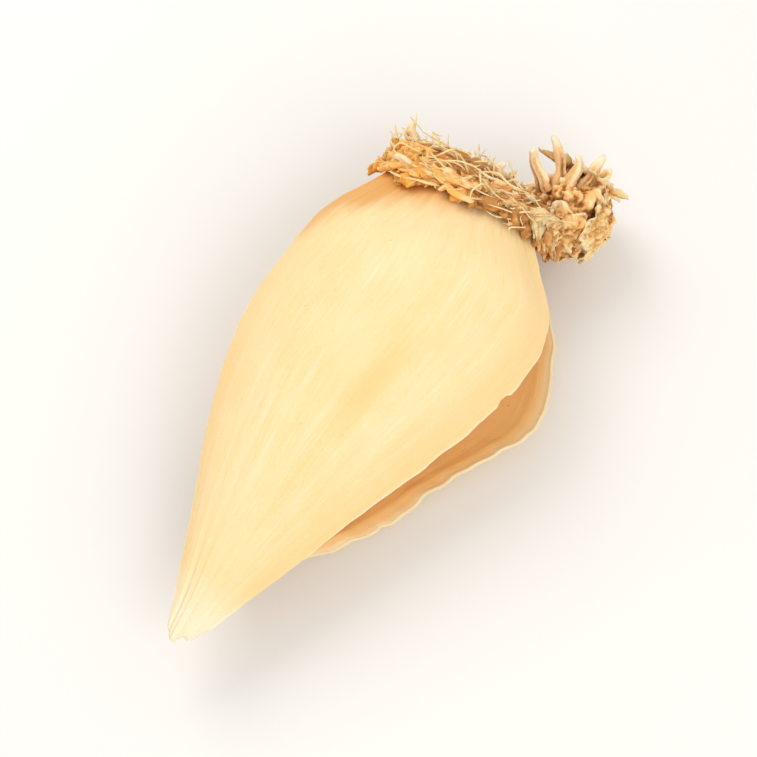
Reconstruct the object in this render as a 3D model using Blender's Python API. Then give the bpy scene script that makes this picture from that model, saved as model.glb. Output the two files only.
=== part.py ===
"""The dried heart of a lily bulb: scales still wrapped round each other on their basal plate.

It lies on its back scale. The bulb's axis runs along Y, with the plate at +Y and the tips at -Y, and +Z
is up. The origin is the middle of the small flat spot that the back scale rests on. Lengths are in
millimetres until finished() turns a piece into metres. A place on the bundle is a station, counted along
the axis from the foot of the scales to their tips, an angle round the axis from +X, and a depth under the
bundle's outside.
"""

import math
import random

import bmesh
import bpy
from mathutils import Matrix, Vector, noise

MM = 0.001

# Driving dimensions
SCALE_LENGTH = 39.5  # front scale, from its foot on the plate to its tip
REST_STATION = 12.5  # how far the rest spot lies from the foot of the scales
FLOOR_BITE = 0.35  # how much of the back scale's belly the flat spot takes away
GAP = 0.34  # between pieces that dried against each other
BLADE = 0.62  # thinnest margin of a scale
FOOT_LEAN = 0.36  # how far the foot leans to the tips for each mm of height

# The bundle's body, which the scales wrap. Stations are shares of SCALE_LENGTH.
HALF_WIDTH = (
    (0, 6.2), (0.05, 7.2), (0.17, 9.05), (0.3, 9.5), (0.4, 9.15), (0.51, 8.1), (0.67, 5.95), (0.8, 3.9),
    (0.93, 2.05), (1, 1.6),
)
HALF_HEIGHT = (
    (0, 4.9), (0.18, 6.6), (0.38, 6.4), (0.51, 5.75), (0.67, 4.5), (0.8, 3.2), (0.93, 1.8), (1, 1.3),
)
MIDDLE_HEIGHT = (
    (0, 5.9), (0.18, 6.6), (0.38, 6.4), (0.51, 6), (0.67, 5.7), (0.8, 5.4), (0.93, 5.1), (1, 4.9),
)
SIDE_SHIFT = ((0, 0), (0.17, 0.9), (0.3, 0.9), (0.4, 0.35), (0.51, -0.3), (0.67, -0.65), (1, -0.8))

# The three layers of scales: how deep each one's outside lies, and how thick its midribs are.
OUTER_LAYER, OUTER_THICKNESS = 0, 1.3
SIDE_LAYER, SIDE_THICKNESS = 1.65, 1.2
INNER_LAYER, INNER_THICKNESS = 3.2, 0.95

# The basal plate
PLATE_THICKNESS = 2.9
COLLAR_WALL = 0.95  # stand-off of the collar's outside from the scales
KNOB_RADIUS = 3.3
KNOB_PLACE = (6.45, 3.43, -0.8)  # from the middle of the scales' foot
ROOT_STUBS = 19

CREAM = (0.91, 0.76, 0.48, 1)
HONEY = (0.84, 0.58, 0.27, 1)
BARK_BROWN = (0.42, 0.24, 0.10, 1)


def eased(stations, share):
    """The value at share along the stations, on a smooth curve through them."""
    last = len(stations) - 1
    share = min(max(share, stations[0][0]), stations[last][0])
    i = next(k for k in range(last) if share <= stations[k + 1][0])
    (x0, y0), (x1, y1) = stations[i], stations[i + 1]
    before, after = stations[max(i - 1, 0)], stations[min(i + 2, last)]
    slope0 = (y1 - before[1]) / (x1 - before[0])
    slope1 = (after[1] - y0) / (after[0] - x0)
    t = (share - x0) / (x1 - x0)
    return (
        y0 * (2 * t**3 - 3 * t**2 + 1)
        + slope0 * (x1 - x0) * (t**3 - 2 * t**2 + t)
        + y1 * (3 * t**2 - 2 * t**3)
        + slope1 * (x1 - x0) * (t**3 - t**2)
    )


def ramp(start, end, value):
    """0 at start, 1 at end, with a soft run between."""
    t = min(max((value - start) / (end - start), 0), 1)
    return t * t * (3 - 2 * t)


def axis_point(station):
    """The middle of the bundle at a station."""
    share = station / SCALE_LENGTH
    height = eased(MIDDLE_HEIGHT, share) - FLOOR_BITE
    return Vector((eased(SIDE_SHIFT, share), REST_STATION - station, height))


def body_point(station, angle, depth):
    """A point of the bundle, with the shallow lumps and the leaning foot that all its layers share."""
    share = station / SCALE_LENGTH
    lump = 1 + 0.02 * math.sin(2 * angle + 7 * share) + 0.012 * math.sin(3 * angle - 5 * share)
    across = max(eased(HALF_WIDTH, share) * lump - depth, 0.1)
    upward = max(eased(HALF_HEIGHT, share) * lump - depth, 0.1) * math.sin(angle)
    forward = FOOT_LEAN * upward * (1 - ramp(0, 0.3, share))
    return axis_point(station) + Vector((across * math.cos(angle), -forward, upward))


def material(name, colour, roughness):
    made = bpy.data.materials.new(name)
    made.use_nodes = True
    shader = made.node_tree.nodes["Principled BSDF"]
    shader.inputs["Base Color"].default_value = colour
    shader.inputs["Roughness"].default_value = roughness
    return made


def finished(name, bm, paint):
    """The bmesh as an object of the scene, cut flat at the floor, in metres, with its faces pointing out."""
    everything = bm.verts[:] + bm.edges[:] + bm.faces[:]
    cut = bmesh.ops.bisect_plane(
        bm, geom=everything, plane_co=(0, 0, 0), plane_no=(0, 0, 1), clear_inner=True
    )
    rim = [part for part in cut["geom_cut"] if isinstance(part, bmesh.types.BMEdge)]
    bmesh.ops.holes_fill(bm, edges=rim)
    bmesh.ops.scale(bm, vec=(MM, MM, MM), verts=bm.verts)
    bmesh.ops.recalc_face_normals(bm, faces=bm.faces)
    mesh = bpy.data.meshes.new(name)
    bm.to_mesh(mesh)
    bm.free()
    mesh.materials.append(paint)
    mesh.shade_smooth()
    mesh.set_sharp_from_angle(angle=math.radians(50))
    piece = bpy.data.objects.new(name, mesh)
    bpy.context.scene.collection.objects.link(piece)
    return piece


def bulb_scale(
    name, paint, layer, thickness, middle, reach, end,
    point=0.85, sharpness=5, flare=(0, 0), ripple=0, waves=3, break_off=0, rows=18, columns=12,
):
    """One fleshy scale: a curved blade that follows the bundle from its foot to its tip.

    middle and reach are degrees round the axis: where its midrib lies, and how far it wraps to each side.
    It ends at the station end, where it has lost the share point of its reach, the later the higher
    sharpness is. flare is how far its margins stand off the bundle, the one at smaller angles first. ripple
    is how far they wave in and out, and break_off is how deep a torn end is notched.
    """
    bm = bmesh.new()
    bmesh.ops.create_grid(bm, x_segments=columns, y_segments=rows, size=1)
    bmesh.ops.triangulate(bm, faces=bm.faces)
    inner = bmesh.ops.extrude_face_region(bm, geom=bm.faces[:])
    inner_points = [part for part in inner["geom"] if isinstance(part, bmesh.types.BMVert)]
    bmesh.ops.translate(bm, verts=inner_points, vec=(0, 0, 1))
    for vert in bm.verts:
        across, along, face = vert.co.x, (vert.co.y + 1) / 2, round(vert.co.z)
        wave = math.sin(waves * math.tau * along + 2 * across)
        outline = (0.8 + 0.2 * ramp(0, 0.2, along)) * (1 - point * along**sharpness)
        outline *= 1 + 0.025 * wave * abs(across)
        angle = math.radians(middle + reach * outline * across)
        open_share = ramp(0, 0.16, along) * math.sin(math.pi * along**0.65)
        margin_flare = flare[0 if across < 0 else 1] * abs(across) ** 3
        stand_off = open_share * (margin_flare + ripple * wave * across**4)
        tear = break_off * along**6 * (0.5 + noise.noise(Vector((2.3 * across, 0.4, end))))
        round_tip = 0.05 * end * along**9 * across**2
        blade = max(thickness * (1 - 0.5 * across**4) * (1 - 0.45 * along**2), BLADE)
        depth = layer * (1 - 0.35 * along**2) - stand_off + blade * face
        vert.co = body_point(0.1 + (end - 0.1) * along - round_tip - tear, angle, depth)
    return finished(name, bm, paint)


def heart_bud(name, paint):
    """The pointed bud in the middle, rolled once round itself."""
    bm = bmesh.new()
    bmesh.ops.create_uvsphere(bm, u_segments=14, v_segments=12, radius=1)
    for vert in bm.verts:
        along, angle = (1 - vert.co.z) / 2, math.atan2(vert.co.y, vert.co.x)
        rolled = 1 + 0.08 * math.sin(3 * angle + 4 * along)
        fullness = math.hypot(vert.co.x, vert.co.y) * (1 - 0.25 * along) * rolled
        outward = Vector((3.4 * math.cos(angle), 0, 1.7 * math.sin(angle)))
        vert.co = axis_point(0.6 + 25 * along) + fullness * outward
    return finished(name, bm, paint)


def collar_height(angle):
    """How far the plate's torn collar reaches up the scales: ragged, with the flakes of lost scales."""
    # Each flake's place and half width in degrees, and its height.
    flakes = ((122, 15, 1.1), (158, 10, 1), (205, 14, 0.8), (250, 10, 1.6), (292, 16, 2.8), (14, 10, 1.2))
    ragged = 0.7 + 0.7 * noise.noise(Vector((2.6 * math.cos(angle), 2.6 * math.sin(angle), 0.7)))
    for place, width, height in flakes:
        off = (math.degrees(angle) - place + 180) % 360 - 180
        ragged += height * math.exp(-((off / width) ** 2))
    return ragged


def basal_plate(name, paint):
    """The crusty disc that carries the scales: a shallow ragged cup, with its knob and root stubs."""
    # From the cup's floor over its rim to the back: share of the bundle's radius, stand-off and station.
    profile = (
        (0, 0, -GAP), (0.5, 0, -GAP), (0.92, 0, -GAP),
        (1, GAP, -0.1), (1, GAP, 0.5), (1, GAP, 1),
        (1, COLLAR_WALL, 1), (1, COLLAR_WALL, 0.5), (1, 1.1, -0.75), (0.93, 0.9, -0.58 * PLATE_THICKNESS),
        (0.66, 1, -PLATE_THICKNESS), (0.34, 0.6, -PLATE_THICKNESS), (0, 0, -0.85 * PLATE_THICKNESS),
    )
    bm = bmesh.new()
    chain = [bm.verts.new((1 + i, 0, 0)) for i in range(len(profile))]
    edges = [bm.edges.new(pair) for pair in zip(chain, chain[1:])]
    bmesh.ops.spin(
        bm, geom=chain + edges, cent=(0, 0, 0), axis=(0, 0, 1), angle=math.tau, steps=40, use_merge=True
    )
    for vert in bm.verts:
        angle = math.atan2(vert.co.y, vert.co.x)
        share, stand_off, station = profile[round(math.hypot(vert.co.x, vert.co.y)) - 1]
        if station > 0:
            station *= collar_height(angle)
        crust = noise.noise(Vector((3 * share * math.cos(angle), 3 * share * math.sin(angle), station / 2)))
        if stand_off >= COLLAR_WALL or station < -1:
            stand_off += 0.7 * crust
            station += 0.5 * crust
        middle = axis_point(station)
        vert.co = middle + share * (body_point(station, angle, -stand_off) - middle)
    bmesh.ops.remove_doubles(bm, verts=bm.verts, dist=0.001)
    plate = finished(name, bm, paint)

    stubs = bpy.data.collections.new("root_stubs")
    bpy.context.scene.collection.children.link(stubs)
    for i, stub in enumerate(all_stubs()):
        one = finished(f"stub_{i}", stub, paint)
        bpy.context.scene.collection.objects.unlink(one)
        stubs.objects.link(one)
    join = plate.modifiers.new("stubs grow from the plate", "BOOLEAN")
    join.operation = "UNION"
    join.operand_type = "COLLECTION"
    join.collection = stubs
    bpy.context.view_layer.update()
    whole = bpy.data.meshes.new_from_object(plate.evaluated_get(bpy.context.evaluated_depsgraph_get()))
    plate.modifiers.clear()
    plate.data = whole
    for one in stubs.objects[:]:
        bpy.data.objects.remove(one)
    bpy.data.collections.remove(stubs)
    return plate


def root_stub(root, direction, length, thickness, bend, sides=6, joints=3):
    """A dried root, cut short: a bent, tapering tube that starts inside the plate."""
    bm = bmesh.new()
    base, tip = 0.6 * thickness, 0.32 * thickness
    bmesh.ops.create_cone(bm, cap_ends=True, segments=sides, radius1=base, radius2=tip, depth=length)
    bmesh.ops.translate(bm, verts=bm.verts, vec=(0, 0, length / 2))
    sides_of_tube = [e for e in bm.edges if abs(e.verts[0].co.z - e.verts[1].co.z) > length / 2]
    bmesh.ops.subdivide_edges(bm, edges=sides_of_tube, cuts=joints, use_grid_fill=True)
    for vert in bm.verts:
        vert.co.x += bend * (vert.co.z / length) ** 2
    turn = Vector(direction).to_track_quat("Z", "X").to_matrix().to_4x4()
    bmesh.ops.transform(bm, matrix=Matrix.Translation(root) @ turn, verts=bm.verts)
    return bm


def all_stubs():
    """The knob on the plate's right with its tuft of thin roots, and the cut roots round it."""
    draw = random.Random(7)
    foot = axis_point(0)
    knob_middle = foot + Vector(KNOB_PLACE)
    knob = bmesh.new()
    bmesh.ops.create_icosphere(knob, subdivisions=3, radius=KNOB_RADIUS)
    for vert in knob.verts:
        vert.co *= 1 + 0.22 * noise.noise(vert.co / 1.6)
        vert.co.y = max(vert.co.y, 0.6 - KNOB_PLACE[1])  # it stays behind the scales
    bmesh.ops.translate(knob, verts=knob.verts, vec=knob_middle)
    yield knob
    for i in range(5):
        aside, fan = -2 + 0.8 * i, -0.75 + 0.3 * i
        root = knob_middle + Vector((0.87 * aside, 0.5 * aside + 0.9, 1.9))
        lean = (0.87 * fan, 0.5 * fan + 0.75, 0.65)
        yield root_stub(root, lean, draw.uniform(3.2, 4.2), 1.0, draw.uniform(-0.9, 0.9))
    yield root_stub(foot + Vector((-1.2, -2, 5.7)), (-1, 0.12, -0.38), 4.4, 1.0, 0.3)
    for i in range(ROOT_STUBS):
        angle = math.tau * i * 0.382
        outward = math.sqrt((i + 0.6) / ROOT_STUBS)
        root = foot + Vector((5.6 * outward * math.cos(angle), 1.6, 4.3 * outward * math.sin(angle)))
        root.y -= FOOT_LEAN * (root.z - foot.z)
        lean = (outward * math.cos(angle) + draw.uniform(-0.3, 0.3), 0.95, outward * math.sin(angle))
        length = draw.uniform(3.4, 5.6) - 2 * ramp(-2, 2, root.z - foot.z)
        yield root_stub(root, lean, length, draw.uniform(1.1, 1.8), draw.uniform(-1.8, 1.8))


def main():
    for old in list(bpy.data.objects):
        bpy.data.objects.remove(old)
    cream = material("dried scale flesh", CREAM, 0.5)
    honey = material("inner scale flesh", HONEY, 0.5)
    brown = material("plate and roots", BARK_BROWN, 0.85)

    outer, side, inner = (
        (OUTER_LAYER, OUTER_THICKNESS),
        (SIDE_LAYER, SIDE_THICKNESS),
        (INNER_LAYER, INNER_THICKNESS),
    )
    bulb_scale(
        "scale_front", cream, *outer, 90, 80, SCALE_LENGTH,
        point=0.25, sharpness=8, flare=(0.3, 0.3), rows=24, columns=14,
    )
    bulb_scale("scale_back", cream, *outer, 271, 67, 33.5, flare=(1.3, 2.4), ripple=0.5, waves=2.6, rows=20)
    bulb_scale("scale_right", honey, *side, -8, 58, 32)
    bulb_scale("scale_left", honey, *side, 190, 56, 24, point=0.1, break_off=4)
    bulb_scale("inner_scale_front", honey, *inner, 75, 80, 28.5, rows=14)
    bulb_scale("inner_scale_back", honey, *inner, 255, 78, 27, rows=14)
    heart_bud("heart_bud", cream)
    basal_plate("basal_plate", brown)


main()
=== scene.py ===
import math
import random

import bmesh
import bpy
from mathutils import Matrix, Vector, noise


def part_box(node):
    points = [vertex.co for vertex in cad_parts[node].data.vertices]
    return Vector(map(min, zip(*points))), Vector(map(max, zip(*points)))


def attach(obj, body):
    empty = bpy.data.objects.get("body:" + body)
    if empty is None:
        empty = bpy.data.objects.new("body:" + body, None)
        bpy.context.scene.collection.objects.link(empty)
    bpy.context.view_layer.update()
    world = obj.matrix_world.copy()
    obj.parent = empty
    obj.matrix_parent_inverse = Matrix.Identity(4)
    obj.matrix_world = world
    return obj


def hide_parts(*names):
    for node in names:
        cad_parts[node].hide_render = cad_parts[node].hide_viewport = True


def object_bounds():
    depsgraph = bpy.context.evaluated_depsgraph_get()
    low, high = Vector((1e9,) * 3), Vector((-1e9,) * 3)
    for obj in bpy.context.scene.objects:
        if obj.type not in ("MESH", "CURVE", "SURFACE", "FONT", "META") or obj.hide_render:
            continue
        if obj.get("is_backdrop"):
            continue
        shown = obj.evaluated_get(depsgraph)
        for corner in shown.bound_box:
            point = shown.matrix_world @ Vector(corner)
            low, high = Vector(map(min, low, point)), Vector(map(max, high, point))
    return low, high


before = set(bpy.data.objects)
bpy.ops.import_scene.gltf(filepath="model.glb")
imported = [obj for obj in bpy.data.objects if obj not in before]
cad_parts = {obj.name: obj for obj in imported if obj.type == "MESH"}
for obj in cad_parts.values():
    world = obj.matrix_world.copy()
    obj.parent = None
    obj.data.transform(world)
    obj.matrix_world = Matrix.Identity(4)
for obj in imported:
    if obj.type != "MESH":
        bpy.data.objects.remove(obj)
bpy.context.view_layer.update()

# The front scale: the smooth, plump outer scale that faces up. It is one fleshy leaf, grown out of the
# plate at its foot and dried hard, with a thin pale margin, a golden foot and a blunt white tip.

MM = 0.001
FOOT_MARGIN = 0.1  # how far the scales' ends stay off the foot station, in mm
front_low, front_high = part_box("scale_front")
FOOT_Y = front_high.y / MM + FOOT_MARGIN
SCALE_LENGTH = FOOT_Y - front_low.y / MM
FLOOR_BITE = 0.35  # how far the bundle is let down, so that its lowest part is pressed flat, in mm
LEAST_BLADE = 0.62  # the least thickness of a scale's blade, in mm
FOOT_LEAN = 0.36  # how far the foot leans to the tips for each mm of height
FEATHERED = 0.42  # share of its thickness that a blade keeps at its very edge

# The body of the bundle that the scales wrap, in mm at shares of SCALE_LENGTH, as in the frame's solids.
HALF_WIDTH = (
    (0, 6.2), (0.05, 7.2), (0.17, 9.05), (0.3, 9.5), (0.4, 9.15), (0.51, 8.1), (0.67, 5.95), (0.8, 3.9),
    (0.93, 2.05), (1, 1.6),
)
HALF_HEIGHT = (
    (0, 4.9), (0.18, 6.6), (0.38, 6.4), (0.51, 5.75), (0.67, 4.5), (0.8, 3.2), (0.93, 1.8), (1, 1.3),
)
MIDDLE_HEIGHT = (
    (0, 5.9), (0.18, 6.6), (0.38, 6.4), (0.51, 6), (0.67, 5.7), (0.8, 5.4), (0.93, 5.1), (1, 4.9),
)
SIDE_SHIFT = ((0, 0), (0.17, 0.9), (0.3, 0.9), (0.4, 0.35), (0.51, -0.3), (0.67, -0.65), (1, -0.8))


def eased(stations, share):
    """The value at share along the stations, on a smooth curve through them."""
    last = len(stations) - 1
    share = min(max(share, stations[0][0]), stations[last][0])
    i = next(k for k in range(last) if share <= stations[k + 1][0])
    (x0, y0), (x1, y1) = stations[i], stations[i + 1]
    before, after = stations[max(i - 1, 0)], stations[min(i + 2, last)]
    slope0 = (y1 - before[1]) / (x1 - before[0])
    slope1 = (after[1] - y0) / (after[0] - x0)
    t = (share - x0) / (x1 - x0)
    return (
        y0 * (2 * t**3 - 3 * t**2 + 1)
        + slope0 * (x1 - x0) * (t**3 - 2 * t**2 + t)
        + y1 * (3 * t**2 - 2 * t**3)
        + slope1 * (x1 - x0) * (t**3 - t**2)
    )


def ramp(start, end, value):
    """0 at start, 1 at end, with a soft run between."""
    t = min(max((value - start) / (end - start), 0), 1)
    return t * t * (3 - 2 * t)


def bell(place, width, value):
    """1 at place, falling softly to 0 a few widths away."""
    return math.exp(-(((value - place) / width) ** 2))


def axis_point(station):
    """The middle of the bundle at a station from the scales' foot, in mm."""
    share = station / SCALE_LENGTH
    height = eased(MIDDLE_HEIGHT, share) - FLOOR_BITE
    return Vector((eased(SIDE_SHIFT, share), FOOT_Y - station, height))


def body_point(station, angle, depth):
    """A point of the bundle: angle round the axis from +X in radians, depth under the outside in mm."""
    share = station / SCALE_LENGTH
    lump = 1 + 0.02 * math.sin(2 * angle + 7 * share) + 0.012 * math.sin(3 * angle - 5 * share)
    across = max(eased(HALF_WIDTH, share) * lump - depth, 0.1)
    upward = max(eased(HALF_HEIGHT, share) * lump - depth, 0.1) * math.sin(angle)
    forward = FOOT_LEAN * upward * (1 - ramp(0, 0.3, share))
    return axis_point(station) + Vector((across * math.cos(angle), -forward, upward))


def grown(name, bm, paint, give=0):
    """The bmesh, modelled in mm, as an object of the scene, pressed flat at the floor, faces out.

    With give, a height in mm, nothing is flattened: what lies below it is squeezed together over the floor.
    """
    for vert in bm.verts:
        squeezed = give * math.exp(min(vert.co.z / give, 1) - 1) if give else 0
        vert.co.z = max(vert.co.z, squeezed)
    bmesh.ops.scale(bm, vec=(MM, MM, MM), verts=bm.verts)
    bmesh.ops.recalc_face_normals(bm, faces=bm.faces)
    mesh = bpy.data.meshes.new(name)
    bm.to_mesh(mesh)
    bm.free()
    mesh.materials.append(paint)
    mesh.shade_smooth()
    piece = bpy.data.objects.new(name, mesh)
    bpy.context.scene.collection.objects.link(piece)
    return piece


def two_faced_sheet(bm, columns, rows):
    """A closed sheet into the bmesh: two grids from -1 to 1, at z 0 and 1, joined at the rim. Its verts."""
    outside = bmesh.ops.create_grid(bm, x_segments=columns, y_segments=rows, size=1)["verts"]
    faces = list(dict.fromkeys(face for vert in outside for face in vert.link_faces))
    made = bmesh.ops.extrude_face_region(bm, geom=faces)["geom"]
    inside = [part for part in made if isinstance(part, bmesh.types.BMVert)]
    bmesh.ops.translate(bm, verts=inside, vec=(0, 0, 1))
    return outside + inside


def scale_blade(
    name, paint, layer, thickness, middle, reach, end,
    point=0.85, sharpness=5, flare=(0, 0), ripple=0, waves=3, break_off=0,
    seed=0, dimples=0.18, ridges=0.09, crinkle=0.1, crease=0, blunt=0.5, columns=84, rows=140,
):
    """A bulb scale at full detail: the frame's blade with ridges, dimples, a lipped and feathered margin.

    layer is its depth in the bundle, middle and reach are degrees round the axis, end is a station. Its
    attributes along, across and inside tell the material where on the scale a point lies.
    """
    bm = bmesh.new()
    marks = [bm.verts.layers.float.new(mark) for mark in ("along", "across", "inside")]
    for vert in two_faced_sheet(bm, columns, rows):
        x, along, face = vert.co.x, (vert.co.y + 1) / 2, round(vert.co.z)
        across = x * (1.5 - 0.5 * x * x)
        margin = abs(across)
        for mark, value in zip(marks, (along, across, face)):
            vert[mark] = value

        wave = math.sin(waves * math.tau * along + 2 * across)
        outline = (0.8 + 0.2 * ramp(0, 0.2, along)) * (1 - point * along**sharpness)
        outline *= 1 + 0.025 * wave * margin
        side = 5 if across < 0 else 9  # a place in the noise for each margin
        outline *= 1 + 0.012 * noise.noise(Vector((11 * along, side, seed))) * margin**4
        outline *= 1 + 0.007 * noise.noise(Vector((46 * along, side, seed + 3))) * margin**12
        nick = ramp(0.3, 0.55, noise.noise(Vector((19 * along, side, seed + 5))))
        outline *= 1 - 0.035 * nick * margin**18
        angle = math.radians(middle + reach * outline * across)

        open_share = ramp(0, 0.16, along) * math.sin(math.pi * along**0.65)
        margin_flare = flare[0 if across < 0 else 1] * margin**3
        stand_off = open_share * (margin_flare + ripple * wave * across**4)
        stand_off += dimples * noise.noise(Vector((2.4 * across, 4.2 * along, seed + 7)))
        long_ridge = noise.noise(Vector((9 * across, 1.7 * along, seed + 11)))
        fine_ridge = noise.noise(Vector((27 * across, 3.1 * along, seed + 13)))
        ridge = long_ridge + 0.5 * fine_ridge
        stand_off += ridges * (1 + ramp(0.7, 1, along)) * ridge * (1 - 0.5 * margin**4)
        foot_wrinkle = noise.noise(Vector((20 * across, 2 * along, seed + 17)))
        stand_off += 0.16 * foot_wrinkle * (1 - ramp(0, 0.16, along))
        stand_off += crinkle * noise.noise(Vector((24 * along, side, seed + 19))) * ramp(0.82, 1, margin)
        stand_off += 0.09 * bell(0.965, 0.03, margin)
        stand_off -= crease * bell(-0.16 - 0.12 * along, 0.085, across) * bell(0.48, 0.2, along)

        tear = break_off * along**6 * (0.5 + noise.noise(Vector((2.3 * across, 0.4, end))))
        if break_off:
            tear += 0.9 * along**14 * noise.noise(Vector((9 * across, 1.4, seed)))
            tear += 0.5 * along**30 * noise.noise(Vector((31 * across, 2.4, seed)))
        round_tip = 0.05 * end * along**9 * across**2
        round_tip += blunt * ramp(0.97, 1, along) * noise.noise(Vector((2.2 * across, 6, seed)))
        blade = max(thickness * (1 - 0.5 * across**4) * (1 - 0.45 * along**2), LEAST_BLADE)
        edge = max(ramp(0.93, 1, margin), ramp(0.985, 1, along))
        blade *= 1 - (1 - FEATHERED) * edge
        depth = layer * (1 - 0.35 * along**2) - stand_off + blade * face + 0.08 * edge
        station = FOOT_MARGIN + (end - FOOT_MARGIN) * along - round_tip - tear
        vert.co = body_point(station, angle, depth)
    return grown(name, bm, paint)


def add(tree, kind, *inputs, **settings):
    """A shader node with these settings. Each input is a socket's name or number, and a value or a link."""
    made = tree.nodes.new("ShaderNode" + kind)
    for setting, value in settings.items():
        setattr(made, setting, value)
    for socket, value in inputs:
        if isinstance(value, bpy.types.NodeSocket):
            tree.links.new(value, made.inputs[socket])
        else:
            made.inputs[socket].default_value = value
    return made


def sums(tree, operation, *values):
    """The result of a Math node on these values or sockets."""
    return add(tree, "Math", *enumerate(values), operation=operation).outputs[0]


def window(tree, value, start, end, low=0.0, high=1.0):
    """low before start and high after end, with a soft run between."""
    inputs = (("Value", value), ("From Min", start), ("From Max", end), ("To Min", low), ("To Max", high))
    return add(tree, "MapRange", *inputs, interpolation_type="SMOOTHSTEP").outputs[0]


def tint(tree, share, under, over):
    """The colour under, covered by the colour over where share is 1. The Mix node's colours are 6 and 7."""
    return add(tree, "Mix", (0, share), (6, under), (7, over), data_type="RGBA").outputs[2]


def mark(tree, name):
    """What the piece's attribute of this name says at a point."""
    return add(tree, "Attribute", attribute_name=name).outputs["Fac"]


def noise_map(tree, vector, scale, detail=3.0, roughness=0.55):
    """Soft noise from about 0.25 to 0.75, with scale waves to a unit of the vector."""
    inputs = (("Vector", vector), ("Scale", scale), ("Detail", detail), ("Roughness", roughness))
    return add(tree, "TexNoise", *inputs).outputs[0]


def in_mm(tree):
    """The piece's own coordinates, in mm."""
    here = add(tree, "TexCoord").outputs["Object"]
    return add(tree, "Mapping", ("Vector", here), ("Scale", (1 / MM,) * 3)).outputs[0]


def new_group(name, colours, numbers):
    """An empty shader group that puts out Colour, Roughness and Height, and its inner sockets."""
    tree = bpy.data.node_groups.new(name, "ShaderNodeTree")
    for label in colours:
        tree.interface.new_socket(label, in_out="INPUT", socket_type="NodeSocketColor")
    for label in numbers:
        tree.interface.new_socket(label, in_out="INPUT", socket_type="NodeSocketFloat")
    tree.interface.new_socket("Colour", in_out="OUTPUT", socket_type="NodeSocketColor")
    tree.interface.new_socket("Roughness", in_out="OUTPUT", socket_type="NodeSocketFloat")
    tree.interface.new_socket("Height", in_out="OUTPUT", socket_type="NodeSocketFloat")
    return tree, tree.nodes.new("NodeGroupInput").outputs, tree.nodes.new("NodeGroupOutput").inputs


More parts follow.
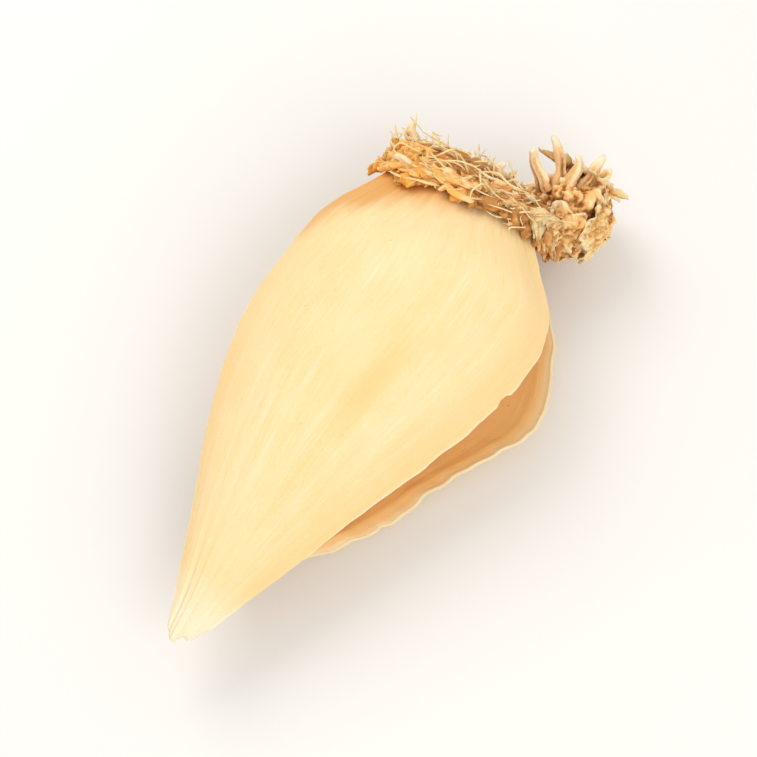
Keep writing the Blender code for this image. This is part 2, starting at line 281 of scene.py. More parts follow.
def dried_flesh_group():
    """The colours of dried bulb flesh: cream with gold mottles and streaks, an amber foot, pale rims."""
    tree, given, out = new_group(
        "dried flesh", ("Cream", "Gold and shade", "Amber and shade", "Pale"),
        ("Foot", "Foot lean", "Crease shade", "Mottle", "Inside", "Specks"),
    )
    along, across, inside = (mark(tree, name) for name in ("along", "across", "inside"))
    margin = sums(tree, "ABSOLUTE", across)
    here = in_mm(tree)
    lengthwise = add(
        tree, "CombineXYZ",
        (0, sums(tree, "MULTIPLY", across, 11)), (1, sums(tree, "MULTIPLY", along, 2.4)), (2, inside),
    ).outputs[0]
    streak = noise_map(tree, lengthwise, 1, 4, 0.6)
    fibre = noise_map(tree, lengthwise, 4.5, 3, 0.6)
    cloud = noise_map(tree, here, 0.17, 3, 0.5)
    grain = noise_map(tree, here, 4.5, 3, 0.6)

    colour = tint(
        tree, sums(tree, "MULTIPLY", window(tree, cloud, 0.38, 0.68), given["Mottle"]),
        given["Cream"], given["Gold and shade"],
    )
    colour = tint(tree, window(tree, streak, 0.46, 0.76, 0, 0.45), colour, given["Gold and shade"])
    colour = tint(tree, window(tree, streak, 0.46, 0.30, 0, 0.35), colour, given["Pale"])
    colour = tint(tree, window(tree, fibre, 0.52, 0.75, 0, 0.45), colour, given["Pale"])
    colour = tint(tree, window(tree, fibre, 0.46, 0.28, 0, 0.35), colour, given["Gold and shade"])
    colour = tint(tree, window(tree, grain, 0.5, 0.75, 0, 0.35), colour, given["Pale"])
    # A gold band along the crease right of the middle, where the scale dips: painted shade.
    band_place = sums(tree, "ADD", across, sums(tree, "MULTIPLY_ADD", along, 0.12, 0.16))
    band_side = window(tree, sums(tree, "ABSOLUTE", band_place), 0.01, 0.15, 1, 0)
    band_ends = sums(
        tree, "MULTIPLY", window(tree, along, 0.3, 0.46), window(tree, along, 0.48, 0.62, 1, 0)
    )
    crease_shade = sums(tree, "MULTIPLY", sums(tree, "MULTIPLY", band_side, band_ends), given["Crease shade"])
    colour = tint(tree, crease_shade, colour, given["Gold and shade"])
    # Gold towards the margins, where the scale turns away from the light: painted shade.
    colour = tint(tree, window(tree, margin, 0.45, 0.9, 0, 0.6), colour, given["Gold and shade"])
    wandering = sums(tree, "MULTIPLY_ADD", cloud, 0.22, sums(tree, "MULTIPLY", streak, 0.16))
    foot_place = sums(tree, "SUBTRACT", along, sums(tree, "MULTIPLY", margin, 0.05))
    foot_place = sums(tree, "ADD", foot_place, wandering)
    foot_place = sums(tree, "SUBTRACT", foot_place, sums(tree, "MULTIPLY", across, given["Foot lean"]))
    foot = sums(tree, "DIVIDE", sums(tree, "SUBTRACT", foot_place, 0.14), given["Foot"])
    colour = tint(tree, window(tree, foot, 0, 1, 0.9, 0), colour, given["Amber and shade"])
    # Amber on the inner face, the side turned into the bundle: painted shade.
    shaded = sums(tree, "MULTIPLY", window(tree, inside, 0.4, 0.6), given["Inside"])
    colour = tint(tree, shaded, colour, given["Amber and shade"])
    colour = tint(tree, window(tree, margin, 0.95, 0.985, 0, 0.85), colour, given["Pale"])
    colour = tint(tree, window(tree, along, 0.86, 0.98, 0, 0.9), colour, given["Pale"])

    swirl = add(tree, "TexNoise", (0, here), ("Scale", 5.0)).outputs[1]
    uneven = add(tree, "VectorMath", (0, here), (1, swirl))
    spots = add(tree, "TexVoronoi", ("Vector", uneven.outputs[0]), ("Scale", 0.75), ("Randomness", 1.0))
    rare = window(tree, noise_map(tree, here, 0.34, 1), 0.58, 0.63)
    speck = sums(tree, "MULTIPLY", window(tree, spots.outputs["Distance"], 0.03, 0.10, 1, 0), rare)
    speck = sums(tree, "MULTIPLY", speck, given["Specks"])
    brown = (0.20, 0.075, 0.02, 1)
    colour = tint(tree, speck, colour, brown)
    tree.links.new(colour, out["Colour"])
    tree.links.new(window(tree, cloud, 0.3, 0.7, 0.44, 0.60), out["Roughness"])
    height = sums(tree, "MULTIPLY_ADD", fibre, 0.5, sums(tree, "MULTIPLY", grain, 0.35))
    tree.links.new(sums(tree, "MULTIPLY_ADD", streak, 0.6, height), out["Height"])
    return tree


DRIED_FLESH = dried_flesh_group()


def tissue_paint(name, group, colours, numbers, bump, bump_height, glow, glow_depth, gloss):
    """Dried plant tissue, coloured by a shader group, lit through a little. Height and depth in mm."""
    paint = bpy.data.materials.new(name)
    paint.use_nodes = True
    tree = paint.node_tree
    tones = tree.nodes.new("ShaderNodeGroup")
    tones.node_tree = group
    for label, colour in colours.items():
        tones.inputs[label].default_value = (*colour, 1)
    for label, number in numbers.items():
        tones.inputs[label].default_value = number
    shader = tree.nodes["Principled BSDF"]
    relief = add(
        tree, "Bump",
        ("Height", tones.outputs["Height"]), ("Strength", bump), ("Distance", bump_height * MM),
    )
    tree.links.new(tones.outputs["Colour"], shader.inputs["Base Color"])
    tree.links.new(tones.outputs["Roughness"], shader.inputs["Roughness"])
    tree.links.new(relief.outputs[0], shader.inputs["Normal"])
    shader.inputs["Subsurface Weight"].default_value = glow
    shader.inputs["Subsurface Radius"].default_value = (1.0, 0.6, 0.3)
    shader.inputs["Subsurface Scale"].default_value = glow_depth * MM
    shader.inputs["Specular IOR Level"].default_value = gloss
    return paint


def flesh_paint(
    name, cream, gold_and_shade, amber_and_shade, pale,
    foot=0.2, foot_lean=0.0, crease_shade=0.0, mottle=0.45, inside=0.5, specks=0.6, bump=0.35,
):
    """Dried bulb flesh: satin and starchy. foot is how far up the scale its amber foot fades out. The gold
    along the crease and towards the margins and the amber of the inner face are painted shade.
    """
    colours = {"Cream": cream, "Gold and shade": gold_and_shade, "Amber and shade": amber_and_shade, "Pale": pale}
    numbers = {
        "Foot": foot, "Foot lean": foot_lean, "Crease shade": crease_shade, "Mottle": mottle, "Inside": inside,
        "Specks": specks,
    }
    return tissue_paint(
        name, DRIED_FLESH, colours, numbers,
        bump=bump, bump_height=0.12, glow=0.35, glow_depth=0.6, gloss=0.4,
    )


outer_flesh = flesh_paint(
    "outer flesh",
    cream=(0.93, 0.73, 0.40), gold_and_shade=(0.91, 0.63, 0.26), amber_and_shade=(0.78, 0.37, 0.08), pale=(0.96, 0.83, 0.60),
    foot=0.13, foot_lean=0.17, crease_shade=0.85, mottle=0.35, specks=0.35,
)
scale_front = scale_blade(
    "front_scale", outer_flesh, layer=0, thickness=1.3, middle=90, reach=80, end=SCALE_LENGTH,
    point=0.25, sharpness=8, flare=(0.3, 0.3), seed=21, crease=0.16, rows=190, columns=110,
)
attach(scale_front, "root")
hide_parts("scale_front")

# The back scale: the outer scale on the other side, which the heart lies on. Its margins dried apart from
# the rest and wave outwards, and its belly is pressed flat where it rests.

back_flesh = flesh_paint(
    "back flesh",
    cream=(0.94, 0.71, 0.37), gold_and_shade=(0.92, 0.60, 0.24), amber_and_shade=(0.84, 0.47, 0.14), pale=(0.98, 0.79, 0.51),
    foot=0.24, inside=0.35, bump=0.6,
)
scale_back = scale_blade(
    "back_scale", back_flesh, layer=0, thickness=1.3, middle=271, reach=67, end=33.5,
    flare=(1.3, 2.4), ripple=0.5, waves=2.6, seed=33, crinkle=0.3, dimples=0.4, ridges=0.28,
)
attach(scale_back, "root")
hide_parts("scale_back")

# The side scales: the next layer in, tucked under the margins of the two outer ones. Their honey colour,
# darker than the outer scales', is painted shade of that place. The left one's upper end broke off, and
# the break is frayed.

SIDE_LAYER, SIDE_THICKNESS = 1.65, 1.2
side_flesh = flesh_paint(
    "side flesh",
    cream=(0.90, 0.60, 0.26), gold_and_shade=(0.83, 0.44, 0.13), amber_and_shade=(0.64, 0.25, 0.05), pale=(0.96, 0.80, 0.52),
    foot=0.34,
)
scale_right = scale_blade(
    "right_scale", side_flesh, SIDE_LAYER, SIDE_THICKNESS, middle=-8, reach=58, end=32,
    seed=45, ridges=0.1,
)
scale_left = scale_blade(
    "left_scale", side_flesh, SIDE_LAYER, SIDE_THICKNESS, middle=190, reach=56, end=24,
    point=0.1, break_off=4, seed=57, ridges=0.1,
)
for piece, node in ((scale_right, "scale_right"), (scale_left, "scale_left")):
    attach(piece, "root")
    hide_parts(node)

# The inner scales: the third and thinnest layer, two half cups that close round the bud. Their deepest
# amber is painted shade of the bundle's middle. Their torn rims are pale.

INNER_LAYER, INNER_THICKNESS = 3.2, 0.95
inner_flesh = flesh_paint(
    "inner flesh",
    cream=(0.88, 0.53, 0.20), gold_and_shade=(0.80, 0.38, 0.09), amber_and_shade=(0.58, 0.20, 0.035), pale=(0.97, 0.84, 0.58),
    foot=0.4,
)
for node, middle, reach, end in (("inner_scale_front", 75, 80, 28.5), ("inner_scale_back", 255, 78, 27)):
    piece = scale_blade(
        node.replace("inner_scale", "inner_cup"), inner_flesh, INNER_LAYER, INNER_THICKNESS,
        middle, reach, end, seed=middle, crinkle=0.06, columns=64, rows=110,
    )
    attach(piece, "root")
    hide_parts(node)

# The bud in the middle: the youngest leaf, rolled once round itself to a point.

BUD_LENGTH, BUD_HALF_WIDTH, BUD_HALF_HEIGHT = 25, 3.4, 1.7
BUD_FOOT = 0.6  # the station that it starts from
bm = bmesh.new()
bmesh.ops.create_uvsphere(bm, u_segments=72, v_segments=60, radius=1)
marks = [bm.verts.layers.float.new(mark_name) for mark_name in ("along", "across", "inside")]
for vert in bm.verts:
    along, angle = (1 - vert.co.z) / 2, math.atan2(vert.co.y, vert.co.x)
    for layer, value in zip(marks, (along, angle / math.pi * 0.9, 0)):
        vert[layer] = value
    overlap = ramp(-0.5, 0.5, math.sin(angle - 3 * along))
    rolled = 1 + 0.08 * math.sin(3 * angle + 4 * along) - 0.09 * overlap
    fullness = math.hypot(vert.co.x, vert.co.y) * (1 - 0.25 * along) * rolled
    outward = Vector((BUD_HALF_WIDTH * math.cos(angle), 0, BUD_HALF_HEIGHT * math.sin(angle)))
    vert.co = axis_point(BUD_FOOT + BUD_LENGTH * along) + fullness * outward
# The bud takes the inner scales' paint, and so their painted shade.
bud = grown("rolled_bud", bm, inner_flesh)
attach(bud, "root")
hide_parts("heart_bud")

# The basal plate: the short corky stem that all scales grow from. Dried, it is a brown crust, creased and
# pitted, with a thin torn collar round the scales' feet, amber where its tissue ripped.

GAP = 0.34  # between the scales and the plate, in mm
PLATE_THICKNESS = 2.9
COLLAR_WALL = 0.95
CRUST_GIVE = 0.4  # height over the floor in which the crusty pieces are squeezed together, in mm
noise.seed_set(3)  # what noise_vector gives depends on this seed, and without one on the time of day


def collar_height(angle):
    """How far the plate's torn collar reaches up the scales: ragged, with the flakes of lost scales.

    Each flake is its place and half width in degrees, and its height in mm.
    """
    flakes = ((122, 15, 0.8), (158, 10, 0.1), (205, 14, 0.8), (250, 10, 1.6), (292, 16, 2.8), (14, 10, 1.2))
    ragged = 0.5 + 0.7 * noise.noise(Vector((2.6 * math.cos(angle), 2.6 * math.sin(angle), 0.7)))
    for place, width, height in flakes:
        off = (math.degrees(angle) - place + 180) % 360 - 180
        ragged += height * bell(0, width, off)
    return ragged


def amber_share(turned):
    """How much of the torn tissue is amber at some degrees round the axis: most of it at the upper left."""
    return 0.3 + 0.8 * bell(135, 50, turned % 360)


def creased(point, size):
    """How high crumpled tissue stands at a point: 0.5 on its cushions, down to -0.5 in its creases."""
    wandering = noise.noise_vector(point / size) * 0.5 * size
    nearest, next_one = noise.voronoi((point + wandering) / size)[0][:2]
    return min((next_one - nearest) / 0.55, 1) - 0.5


def crusty(point):
    """How high the crust stands at a point, in mm: cushions between creases, with crumbs on them."""
    cushions = 0.34 * creased(point, 1.5) + 0.16 * creased(point + Vector((7, 3, 1)), 0.6)
    return cushions + 0.13 * noise.fractal(point / 0.4, 0.8, 2.1, 3)


def crust_marks(bm):
    """The bmesh's layers relief and torn, which tell the material how high and how torn a point is."""
    layers = bm.verts.layers.float
    return [layers.get(label) or layers.new(label) for label in ("relief", "torn")]


def dried_crust_group():
    """The colours of the crust: umber in the creases, which is painted shade, straw in dry patches and on
    the peaks, there as painted highlight, and amber where tissue tore.
    """
    tree, given, out = new_group("dried crust", ("Pit shade", "Body", "Straw and highlight", "Torn"), ("Dryness",))
    here = in_mm(tree)
    relief, torn = mark(tree, "relief"), mark(tree, "torn")
    crumbs = noise_map(tree, here, 3.4, 5, 0.65)
    patches = noise_map(tree, here, 0.55, 3, 0.6)
    raised = sums(tree, "MULTIPLY_ADD", sums(tree, "SUBTRACT", crumbs, 0.5), 0.55, relief)
    # Umber where the relief is low, in the creases and the hollows between crumbs: painted shade.
    colour = tint(tree, window(tree, raised, -0.30, -0.02), given["Pit shade"], given["Body"])
    # Straw in noise patches, the crust's own dry colour, and on raised parts as painted highlight.
    dry_and_highlight = sums(tree, "MULTIPLY_ADD", sums(tree, "SUBTRACT", patches, 0.5), 0.7, raised)
    dry_and_highlight = sums(tree, "ADD", dry_and_highlight, given["Dryness"])
    colour = tint(tree, window(tree, dry_and_highlight, 0.0, 0.36, 0, 0.9), colour, given["Straw and highlight"])
    ripped = sums(tree, "MULTIPLY_ADD", sums(tree, "SUBTRACT", patches, 0.5), 1.2, torn)
    ripped = window(tree, ripped, 0.25, 0.8, 0, 0.85)
    ripped = sums(tree, "MULTIPLY", ripped, window(tree, raised, -0.35, 0.0))
    colour = tint(tree, ripped, colour, given["Torn"])
    tree.links.new(colour, out["Colour"])
    tree.links.new(window(tree, crumbs, 0.3, 0.7, 0.58, 0.85), out["Roughness"])
    tree.links.new(crumbs, out["Height"])
    return tree


DRIED_CRUST = dried_crust_group()


def crust_paint(name, pit_shade, body, straw_and_highlight, torn, dryness=0.0, bump=0.6):
    """Dry plant crust: rough and crumbly. More dryness spreads the pale straw and its painted highlight."""
    return tissue_paint(
        name, DRIED_CRUST, {"Pit shade": pit_shade, "Body": body, "Straw and highlight": straw_and_highlight, "Torn": torn}, {"Dryness": dryness},
        bump=bump, bump_height=0.15, glow=0.4, glow_depth=0.25, gloss=0.3,
    )


plate_paint = crust_paint(
    "plate crust",
    pit_shade=(0.18, 0.058, 0.012), body=(0.56, 0.25, 0.06), straw_and_highlight=(0.94, 0.66, 0.33), torn=(0.95, 0.45, 0.08),
)
# The plate's half section: share of the way out, stand-off in mm, station in mm. A station over 0 is a
# share of the collar's height.
profile = (
    (0, 0, -GAP), (0.5, 0, -GAP), (0.92, 0, -GAP),
    (1, GAP, -0.1), (1, GAP, 0.5), (1, GAP, 1),
    (1, 0.6 * COLLAR_WALL, 1), (1, COLLAR_WALL, 0.4), (1, 1.1, -0.75), (0.93, 0.9, -0.58 * PLATE_THICKNESS),
    (0.66, 1, -PLATE_THICKNESS), (0.34, 0.6, -PLATE_THICKNESS), (0, 0, -0.85 * PLATE_THICKNESS),
)
bm = bmesh.new()
chain = [bm.verts.new((1 + i, 0, 0)) for i in range(len(profile))]
edges = [bm.edges.new(pair) for pair in zip(chain, chain[1:])]
bmesh.ops.spin(
    bm, geom=chain + edges, cent=(0, 0, 0), axis=(0, 0, 1), angle=math.tau, steps=80, use_merge=True
)
for vert in bm.verts:
    angle = math.atan2(vert.co.y, vert.co.x)
    share, stand_off, station = profile[round(math.hypot(vert.co.x, vert.co.y)) - 1]
    if station > 0:
        station *= collar_height(angle)
    crust = noise.noise(Vector((3 * share * math.cos(angle), 3 * share * math.sin(angle), station / 2)))
    if stand_off > GAP or station < -1:
        stand_off += 0.7 * crust
        station += 0.5 * crust
    centre = axis_point(station)
    vert.co = centre + share * (body_point(station, angle, -stand_off) - centre)
bmesh.ops.remove_doubles(bm, verts=bm.verts, dist=0.001)
bmesh.ops.recalc_face_normals(bm, faces=bm.faces)
bmesh.ops.subdivide_edges(bm, edges=bm.edges, cuts=5, smooth=0.6, use_grid_fill=True)
bm.normal_update()
relief_mark, torn_mark = crust_marks(bm)
foot = axis_point(0)
for vert in bm.verts:
    station = foot.y - vert.co.y - FOOT_LEAN * (vert.co.z - foot.z)
    outward = Vector((vert.co.x - foot.x, 0, vert.co.z - foot.z)).normalized()
    facing_out = ramp(-0.4, 0.3, vert.normal.dot(outward) + ramp(-1.1, -1.9, station))
    relief = crusty(vert.co)
    vert[relief_mark] = relief
    turned = math.degrees(math.atan2(outward.z, outward.x))
    vert[torn_mark] = ramp(-1.6, 0.4, station) * amber_share(turned)
    ragged = noise.noise(Vector((2.4 * vert.co.x, 2.4 * vert.co.z, 9))) * ramp(0.2, 1, station)
    vert.co += relief * (0.15 + 0.85 * facing_out) * vert.normal - Vector((0, 0.6 * ragged, 0))
plate = grown("plate_crust", bm, plate_paint, give=CRUST_GIVE)
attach(plate, "root")
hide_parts("basal_plate")

# The torn collar: what is left of scales that broke off. Ragged strips of thin tissue lie on the feet of
# the scales that stayed, over rolled ridges of the same stuff.

SHREDS, ROLLS = 46, 16
torn_paint = crust_paint(
    "torn tissue",
    pit_shade=(0.32, 0.11, 0.02), body=(0.76, 0.38, 0.11), straw_and_highlight=(0.97, 0.73, 0.40), torn=(0.98, 0.48, 0.09),
    dryness=0.04,
)
ARC = 6.8  # mm round the bundle's foot for one radian
collar = bmesh.new()


def shred(bm, angle, width, start, end, lift, seed, columns=12, rows=16):
    """A ragged strip into the bmesh, from one station to another. angle and width are in degrees."""
    relief_mark, torn_mark = crust_marks(bm)
    for vert in two_faced_sheet(bm, columns, rows):
        across, along, face = vert.co.x, (vert.co.y + 1) / 2, vert.co.z
        side_tear = noise.noise(Vector((seed, 4 * along, round(across))))
        end_tear = noise.noise(Vector((2.8 * across, seed, 1)))
        half = width * (1 - 0.5 * along) * (1 + 0.7 * side_tear)
        turned = angle + half * across + 16 * noise.noise(Vector((seed, 2, 1.3 * along)))
        station = start + (end - start) * along * (1 + 0.6 * end_tear)
        crumple = noise.noise(Vector((2.5 * across, 3 * along, seed)))
        stand_off = 0.45 + 0.5 * (1 - along) ** 2 + lift * along**2 + 0.28 * crumple + 0.15 * across**2
        thin = 0.2 * (1 - 0.6 * max(across**4, along**4)) * face
        vert[relief_mark] = 0.5 * crumple + 0.1
        vert[torn_mark] = (0.7 + 0.5 * side_tear) * amber_share(turned)
        vert.co = body_point(station, math.radians(turned), -stand_off - thin)


def tube(bm, sides, rings):
    """A tube into the bmesh, of radius 1 and length 1, closed to a point at both ends. Its verts."""
    verts = bmesh.ops.create_grid(bm, x_segments=sides, y_segments=rings, size=1)["verts"]
    for vert in verts:
        share, angle = (vert.co.y + 1) / 2, math.pi * vert.co.x
        radius = 0 if round(share * rings) in (0, rings) else 1
        vert.co = (radius * math.cos(angle), radius * math.sin(angle), share)
    bmesh.ops.remove_doubles(bm, verts=verts, dist=1e-4)
    return [vert for vert in verts if vert.is_valid]


def strand(bm, start, end, radius, wander, seed, sides=7, rings=24):
    """A thread or a roll into the bmesh. start and end: a station, degrees round the axis, a stand-off."""
    relief_mark, torn_mark = crust_marks(bm)
    start, end = (Vector((at, ARC * math.radians(turned), off)) for at, turned, off in (start, end))
    run = end - start
    side = Vector((-run.y, run.x, 0)).normalized()
    for vert in tube(bm, sides, rings):
        share, turned = vert.co.z, math.atan2(vert.co.y, vert.co.x)
        girth = radius * vert.co.xy.length * (1 - 0.75 * abs(2 * share - 1) ** 4)
        girth *= 1 + 0.5 * noise.noise(Vector((seed, 9 * share * run.length / 5, math.cos(turned))))
        place = start.lerp(end, share)
        place += wander * noise.noise_vector(Vector((seed, 1.6 * share, 4)))
        place += girth * (math.cos(turned) * side + Vector((0, 0, math.sin(turned))))
        vert[relief_mark] = 0.25 + 0.6 * noise.noise(Vector((seed, 6 * share, turned)))
        ripped = 0.7 + 0.6 * noise.noise(Vector((seed, 3 * share, 8)))
        vert[torn_mark] = ripped * amber_share(math.degrees(place.y / ARC))
        vert.co = body_point(place.x, place.y / ARC, -place.z)


draw = random.Random(5)
for i in range(SHREDS):
    turned = 360 * i / SHREDS + draw.uniform(-5, 5)
    end = collar_height(math.radians(turned)) + draw.uniform(-0.9, 0.3)
    end *= 1 - 0.9 * bell(190, 40, turned)
    shred(collar, turned, draw.uniform(4, 11), draw.uniform(-2, -1), end, draw.uniform(-0.1, 0.5), 1.7 * i)
for i in range(ROLLS):
    turned = 88 + 4.2 * i + draw.uniform(-6, 6)
    at, off = draw.uniform(-0.9, 0.7), draw.uniform(0.75, 1.05)
    span = draw.uniform(14, 34)
    strand(
        collar, (at, turned - span / 2, off), (at + draw.uniform(-0.5, 0.5), turned + span / 2, off),
        draw.uniform(0.22, 0.42), 0.7, 50 + i, sides=12,
    )
torn_collar = grown("torn_collar", collar, torn_paint, give=CRUST_GIVE)
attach(torn_collar, "root")

# Loose fibres of the same torn tissue, dried to threads. They lie across the plate, most of them in front,
# and one pale one over the foot of the front scale.

FIBRES = 130
fibre_paint = crust_paint(
    "fibres",
    pit_shade=(0.42, 0.18, 0.045), body=(0.80, 0.48, 0.18), straw_and_highlight=(0.98, 0.78, 0.47), torn=(0.95, 0.62, 0.26),
    dryness=0.1, bump=0.2,
)
fibres = bmesh.new()
for i in range(FIBRES):
    turned = draw.choice((draw.uniform(50, 165), draw.uniform(0, 360)))
    at, off = draw.uniform(-2.6, 0.3), draw.uniform(1.05, 1.5)
    span, slant = draw.uniform(6, 30), draw.uniform(-1.4, 1.4)
    strand(
        fibres, (at, turned - span / 2, off - 0.45), (at + slant, turned + span / 2, off - 0.2),
        draw.uniform(0.05, 0.10), 1.05, 90 + i, sides=4, rings=14,
    )
strand(fibres, (0.3, 99, 0.9), (1.3, 134, 0.9), 0.15, 0.6, 77)
loose_fibres = grown("loose_fibres", fibres, fibre_paint, give=CRUST_GIVE)
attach(loose_fibres, "root")

# The knob on the plate's right: the stump of a thick root, dried to a crumpled pale lump, in husks whose
# thin rims have curled away.

KNOB_RADIUS = 3.3
KNOB_FLAT = -2.8  # past this y from its middle, in mm, the knob is squeezed to half against the scales
knob_middle = foot + Vector((6.45, 3.43, -0.8))
knob_paint = crust_paint(
    "knob crust",
    pit_shade=(0.40, 0.15, 0.033), body=(0.92, 0.54, 0.19), straw_and_highlight=(1.0, 0.80, 0.47), torn=(1.0, 0.82, 0.52),
    dryness=0.12,
)
bm = bmesh.new()
bmesh.ops.create_icosphere(bm, subdivisions=7, radius=KNOB_RADIUS)
relief_mark = crust_marks(bm)[0]
for vert in bm.verts:
    lump = 1 + 0.22 * noise.noise(vert.co / 1.6)
    relief = 0.5 * creased(vert.co, 1.3) + crusty(vert.co + Vector((9, 4, 2)))
    vert[relief_mark] = 0.9 * relief
    vert.co *= 0.96 * lump + relief / KNOB_RADIUS
    vert.co.y = max(vert.co.y, (vert.co.y + KNOB_FLAT) / 2)
bmesh.ops.translate(bm, verts=bm.verts, vec=knob_middle)
knob = grown("root_knob", bm, knob_paint, give=CRUST_GIVE)
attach(knob, "root")

husks = bmesh.new()


def husk(bm, direction, spread, radius, flare, seed, columns=36, rows=36):
    """A cupped, ragged flake round the knob into the bmesh. spread is the degrees from middle to rim."""
    relief_mark, torn_mark = crust_marks(bm)
    turn = Vector(direction).to_track_quat("Z", "X").to_matrix()
    for vert in two_faced_sheet(bm, columns, rows):
        outer = max(abs(vert.co.x), abs(vert.co.y))
        round_it, face = math.atan2(vert.co.y, vert.co.x), vert.co.z
        rim = noise.noise(Vector((1.6 * math.cos(round_it), 1.6 * math.sin(round_it), seed)))
        nicks = noise.noise(Vector((6 * math.cos(round_it), 6 * math.sin(round_it), seed)))
        tilt = math.radians(spread) * outer * (1 + 0.45 * rim + 0.12 * nicks)
        aside = math.sin(tilt)
        out = Vector((aside * math.cos(round_it), aside * math.sin(round_it), math.cos(tilt)))
        crumple = creased(out * KNOB_RADIUS + Vector((seed, 0, 0)), 1.1)
        crumple += 0.5 * creased(out * KNOB_RADIUS + Vector((0, seed, 0)), 0.5)
        away = radius + 0.36 * crumple + flare * outer**5 * (1 + rim) + 0.2 * (1 - 0.6 * outer**4) * face
        vert[relief_mark] = 0.35 * crumple
        vert[torn_mark] = ramp(0.75, 1, outer)
        vert.co = knob_middle + turn @ (away * out)


husk(husks, (1, 0.15, 0.1), spread=52, radius=3.2, flare=0.45, seed=1)
husk(husks, (0.3, -0.8, 0.7), spread=30, radius=3.2, flare=0.3, seed=2)
husk(husks, (0.08, 0.9, 0.34), spread=43, radius=3.4, flare=1.05, seed=3)
husk(husks, (0.6, -0.3, -0.8), spread=44, radius=3.15, flare=0.3, seed=4)
knob_husks = grown("knob_husks", husks, knob_paint, give=CRUST_GIVE)
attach(knob_husks, "root")

# The root stubs: dried roots that broke off short, bent and shrivelled, brown where they leave the plate
# and pale at the ends. A tuft of thin ones stands by the knob, and hair roots hang between them.

ROOT_STUBS, HAIR_ROOTS = 19, 90
TUFT_LENGTHS = (3.3, 3.8, 3.2, 3.1, 2.3)
root_paint = crust_paint(
    "dried root",
    pit_shade=(0.38, 0.16, 0.04), body=(0.84, 0.52, 0.22), straw_and_highlight=(1.0, 0.80, 0.50), torn=(1.0, 0.85, 0.60),
    dryness=0.06,
)
roots = bmesh.new()
relief_mark, torn_mark = crust_marks(roots)


def root_stub(root, direction, length, thickness, bend, seed, sides=14, rings=28):
    """One root into the bmesh: it starts inside the plate, bends, shrivels and ends in a torn point."""
    turn = Matrix.Translation(root) @ Vector(direction).to_track_quat("Z", "X").to_matrix().to_4x4()
    for vert in tube(roots, sides, rings):
        share, angle = vert.co.z, math.atan2(vert.co.y, vert.co.x)
        folds = noise.noise(Vector((2.2 * math.cos(angle), 2.2 * math.sin(angle), seed + 1.1 * share)))
        neck = noise.noise(Vector((0, seed, 3.5 * share)))
        radius = vert.co.xy.length * thickness * (0.6 - 0.36 * share**1.3) * (1 + 0.6 * folds + 0.3 * neck)
        radius *= 1 - 0.5 * ramp(0.92, 1, share)
        sway = 0.55 * thickness * noise.noise_vector(Vector((seed, 2.2 * share, 3))) * ramp(0, 0.3, share)
        middle = Vector((bend * share**2, 0, length * share)) + sway
        torn = length * 0.07 * folds * share**8
        vert[relief_mark] = 0.35 * share - 0.12 + 0.55 * folds
        vert[torn_mark] = share**3
        vert.co = turn @ (middle + Vector((radius * math.cos(angle), radius * math.sin(angle), torn)))


draw = random.Random(7)
for i, length in enumerate(TUFT_LENGTHS):
    aside, fan = -2 + 0.8 * i, -0.75 + 0.3 * i
    root = knob_middle + Vector((0.87 * aside, 0.5 * aside + 0.9, 1.9))
    lean = (0.87 * fan, 0.5 * fan + 0.75, 0.65)
    root_stub(root, lean, length, 0.9, draw.uniform(-1.2, 1.2), i)
root_stub(foot + Vector((-1.2, -2, 5.7)), (-1, 0.12, -0.38), 4.4, 0.7, 0.3, 6)
for i in range(ROOT_STUBS):
    angle = math.tau * i * 0.382
    outward = math.sqrt((i + 0.6) / ROOT_STUBS)
    root = foot + Vector((5.6 * outward * math.cos(angle), 1.6, 4.3 * outward * math.sin(angle)))
    root.y -= FOOT_LEAN * (root.z - foot.z)
    lean = (outward * math.cos(angle) + draw.uniform(-0.3, 0.3), 0.95, outward * math.sin(angle))
    upper = ramp(-2, 2, root.z - foot.z)
    length = (draw.uniform(3.4, 5.6) - 2 * upper) * (1 - 0.45 * upper)
    thickness = (0.9 - 0.2 * upper) * draw.uniform(1.1, 1.8)
    root_stub(root, lean, length, thickness, draw.uniform(-1.8, 1.8), 10 + i)
for i in range(HAIR_ROOTS):
    angle, outward = draw.uniform(0, math.tau), math.sqrt(draw.random())
    root = foot + Vector((5.4 * outward * math.cos(angle), 2.4 - outward, 4.2 * outward * math.sin(angle)))
    root.y -= FOOT_LEAN * (root.z - foot.z)
    lean = (1.6 * outward * math.cos(angle) + draw.uniform(-0.6, 0.6), 0.7, outward * math.sin(angle) + 0.3)
    root_stub(root, lean, draw.uniform(1.4, 2.6), 0.22, draw.uniform(-1.2, 1.2), 40 + i, 5, 10)
root_stubs = grown("root_stubs", roots, root_paint, give=CRUST_GIVE)
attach(root_stubs, "root")

# The floor, the light and the camera of the picture: a plain pale studio.

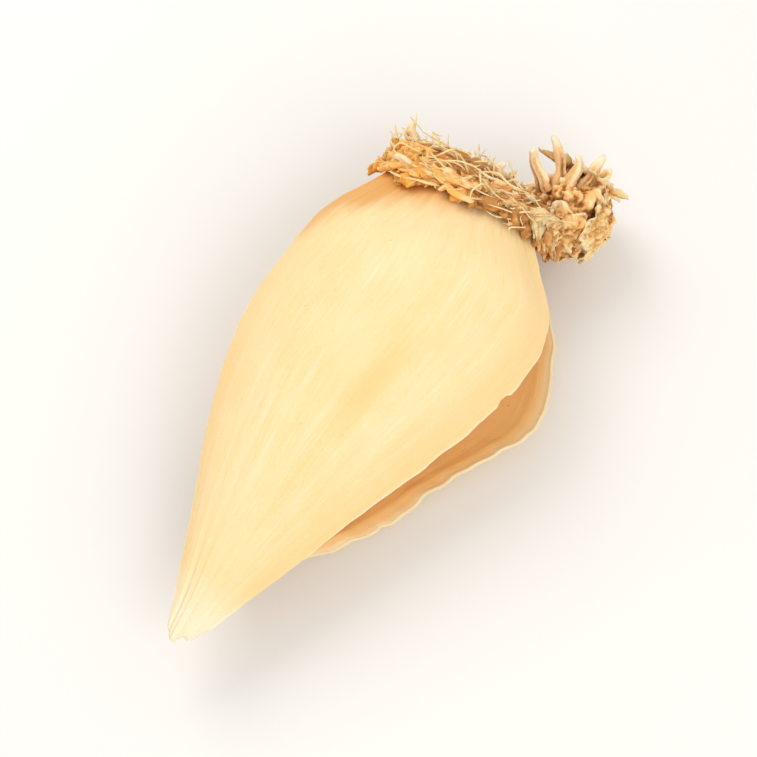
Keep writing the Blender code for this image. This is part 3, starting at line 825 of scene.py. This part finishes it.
FLOOR_HALF_SIZE = 1.5  # in metres
floor_bm = bmesh.new()
bmesh.ops.create_grid(floor_bm, x_segments=1, y_segments=1, size=FLOOR_HALF_SIZE)
floor_mesh = bpy.data.meshes.new("floor")
floor_bm.to_mesh(floor_mesh)
floor_bm.free()
floor_paint = bpy.data.materials.new("floor")
floor_paint.use_nodes = True
floor_shader = floor_paint.node_tree.nodes["Principled BSDF"]
floor_shader.inputs["Base Color"].default_value = (0.86, 0.85, 0.83, 1)
floor_shader.inputs["Roughness"].default_value = 0.9
floor_mesh.materials.append(floor_paint)
floor = bpy.data.objects.new("floor", floor_mesh)
bpy.context.scene.collection.objects.link(floor)
floor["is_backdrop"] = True

low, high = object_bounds()
middle = (low + high) / 2
reach = (high - low).length

world = bpy.data.worlds.new("soft studio")
world.use_nodes = True
background = world.node_tree.nodes["Background"]
background.inputs["Color"].default_value = (1.0, 0.98, 0.95, 1)
background.inputs["Strength"].default_value = 0.72
bpy.context.scene.world = world


def direction_to(azimuth, elevation):
    """The direction from the object to this azimuth and elevation, both in degrees."""
    a, e = math.radians(azimuth), math.radians(elevation)
    return Vector((math.sin(a) * math.cos(e), -math.cos(a) * math.cos(e), math.sin(e)))


def soft_light(name, azimuth, elevation, distance, size, power, colour):
    """A square soft light, aimed at the object's middle. distance and size are in object diagonals."""
    lamp = bpy.data.lights.new(name, "AREA")
    lamp.size = size * reach
    lamp.energy = power
    lamp.color = colour
    holder = bpy.data.objects.new(name, lamp)
    away = direction_to(azimuth, elevation)
    holder.location = middle + away * distance * reach
    holder.rotation_euler = away.to_track_quat("Z", "Y").to_euler()
    bpy.context.scene.collection.objects.link(holder)


soft_light("key", -115, 50, distance=4, size=2.6, power=0.175, colour=(1, 0.98, 0.95))
soft_light("fill", 60, 40, distance=5, size=4, power=0.29, colour=(1, 0.98, 0.96))

CAMERA_AZIMUTH, CAMERA_ELEVATION = 30, 65
camera_data = bpy.data.cameras.new("camera")
camera_data.lens = 100
camera_data.clip_start = MM
camera = bpy.data.objects.new("camera", camera_data)
back = direction_to(CAMERA_AZIMUTH, CAMERA_ELEVATION)
half_field = math.atan(camera_data.sensor_width / 2 / camera_data.lens)
camera.location = middle + back * (0.5 * reach / math.tan(half_field))
camera.rotation_mode = "QUATERNION"
camera.rotation_quaternion = back.to_track_quat("Z", "Y")
bpy.context.scene.collection.objects.link(camera)
bpy.context.scene.camera = camera
bpy.context.scene.view_settings.view_transform = "Standard"
